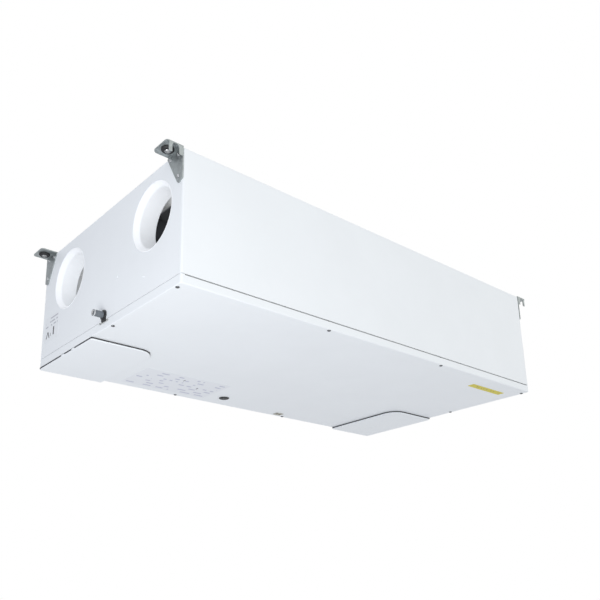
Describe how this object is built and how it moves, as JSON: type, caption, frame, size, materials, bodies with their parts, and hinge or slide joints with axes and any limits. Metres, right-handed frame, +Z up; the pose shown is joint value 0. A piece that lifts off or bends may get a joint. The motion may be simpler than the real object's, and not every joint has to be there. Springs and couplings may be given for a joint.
{
  "type": "heat recovery unit",
  "caption": "Flat ceiling-hung heat recovery ventilation unit with round duct sockets on both ends, a removable service cover below and swing-down filter hatches.",
  "frame": {"origin": "centre of the four ceiling bolts, on the ceiling plane", "axes": "+X along the length, away from the drain end; +Y away from the long side that faces the viewer; +Z up into the ceiling"},
  "size_m": [1.196, 0.6, 0.2905],
  "materials": {
    "white_paint": "satin white powder coat",
    "foam": "moulded bead foam",
    "socket_foam": "smooth moulded white foam",
    "galvanised": "galvanised steel with fine spangle",
    "rubber": "matt black rubber",
    "zinc": "bright zinc plate",
    "exchanger_film": "thin translucent polystyrene plates",
    "dark_plastic": "fine-grained dark plastic",
    "tray_plastic": "black moulded plastic",
    "drain_plastic": "grey plastic tube",
    "motor_metal": "cast aluminium",
    "fan_plastic": "glass-filled black plastic",
    "actuator_plastic": "orange plastic",
    "bush_plastic": "natural acetal",
    "board": "green solder mask",
    "terminal": "green moulded plastic",
    "gland_plastic": "grey polyamide",
    "cable_sheath": "black sheath",
    "gasket": "closed-cell foam rubber",
    "screw_steel": "blackened steel",
    "label": "printed label",
    "filter": "pleated synthetic fleece",
    "plug": "black rubber",
    "guide_plastic": "light grey plastic"
  },
  "bodies": {
    "casing": {"casing_shell": "white_paint", "end_panel_left": "white_paint", "end_panel_right": "white_paint", "panel_rivets": "zinc", "foam_roof": "foam", "foam_bypass_block": "foam", "foam_end_left": "foam", "foam_end_right": "foam", "foam_wall_near": "foam", "foam_wall_far": "foam", "foam_divider_left": "foam", "foam_divider_right": "foam", "foam_core_near": "foam", "foam_core_far": "foam", "duct_socket_near_left": "socket_foam", "duct_socket_far_left": "socket_foam", "duct_socket_near_right": "socket_foam", "duct_socket_far_right": "socket_foam", "hanger_near_left": "galvanised", "hanger_far_left": "galvanised", "hanger_near_right": "galvanised", "hanger_far_right": "galvanised", "hanger_grommets": "rubber", "hanger_sleeves": "zinc", "hanger_screws": "zinc", "exchanger_core": "exchanger_film", "exchanger_end_plates": "dark_plastic", "condensate_tray": "tray_plastic", "drain_spigot": "drain_plastic", "drain_nut": "tray_plastic", "fan_scroll_left": "dark_plastic", "fan_scroll_right": "dark_plastic", "fan_inlets": "fan_plastic", "fan_motors": "motor_metal", "bypass_actuator": "actuator_plastic", "bypass_bushes": "bush_plastic", "control_box": "galvanised", "circuit_board": "board", "terminal_block": "terminal", "cable_glands": "gland_plastic", "cable_loom": "cable_sheath", "temperature_sensors": "zinc", "filter_guide_left": "guide_plastic", "filter_guide_right": "guide_plastic", "end_label": "label"},
    "service_cover": {"service_cover": "white_paint", "cover_insulation": "foam", "cover_gasket": "gasket", "cover_screws": "screw_steel", "cover_labels": "label"},
    "cover_plug": {"cover_plug": "plug"},
    "filter_hatch_left": {"filter_hatch_left": "white_paint", "hatch_foam_left": "foam"},
    "filter_hatch_right": {"filter_hatch_right": "white_paint", "hatch_foam_right": "foam"},
    "filter_left": {"filter_left": "filter"},
    "filter_right": {"filter_right": "filter"},
    "impeller_left": {"impeller_left": "fan_plastic"},
    "impeller_right": {"impeller_right": "fan_plastic"},
    "bypass_flap": {"bypass_flap": "dark_plastic"}
  },
  "joints": [
    {"name": "cover_drop", "type": "slide", "parent": "casing", "child": "service_cover", "axis": [0, 0, -1], "range_m": [0, 0.4]},
    {"name": "plug_pull", "type": "slide", "parent": "service_cover", "child": "cover_plug", "axis": [0, 0, -1], "range_m": [0, 0.03]},
    {"name": "hatch_left_swing", "type": "hinge", "parent": "service_cover", "child": "filter_hatch_left", "pos_m": [-0.56, 0.17, -0.2869], "axis": [0, 1, 0], "range_deg": [0, 90]},
    {"name": "hatch_right_swing", "type": "hinge", "parent": "service_cover", "child": "filter_hatch_right", "pos_m": [0.56, 0.17, -0.2869], "axis": [0, -1, 0], "range_deg": [0, 90]},
    {"name": "filter_left_draw", "type": "slide", "parent": "casing", "child": "filter_left", "axis": [0, 0, -1], "range_m": [0, 0.16]},
    {"name": "filter_right_draw", "type": "slide", "parent": "casing", "child": "filter_right", "axis": [0, 0, -1], "range_m": [0, 0.16]},
    {"name": "impeller_left_spin", "type": "hinge", "parent": "casing", "child": "impeller_left", "pos_m": [-0.365, -0.15, -0.1015], "axis": [0, 0, 1], "continuous": true},
    {"name": "impeller_right_spin", "type": "hinge", "parent": "casing", "child": "impeller_right", "pos_m": [0.365, -0.15, -0.1015], "axis": [0, 0, 1], "continuous": true},
    {"name": "bypass_turn", "type": "hinge", "parent": "casing", "child": "bypass_flap", "pos_m": [-0.132, 0.099, -0.0519], "axis": [0.6, 0.8, 0], "range_deg": [0, 90]}
  ],
  "couplings": [
    {"joint": "filter_left_draw", "follows": "hatch_left_swing", "m_per_rad": 0.1},
    {"joint": "filter_right_draw", "follows": "hatch_right_swing", "m_per_rad": 0.1}
  ]
}
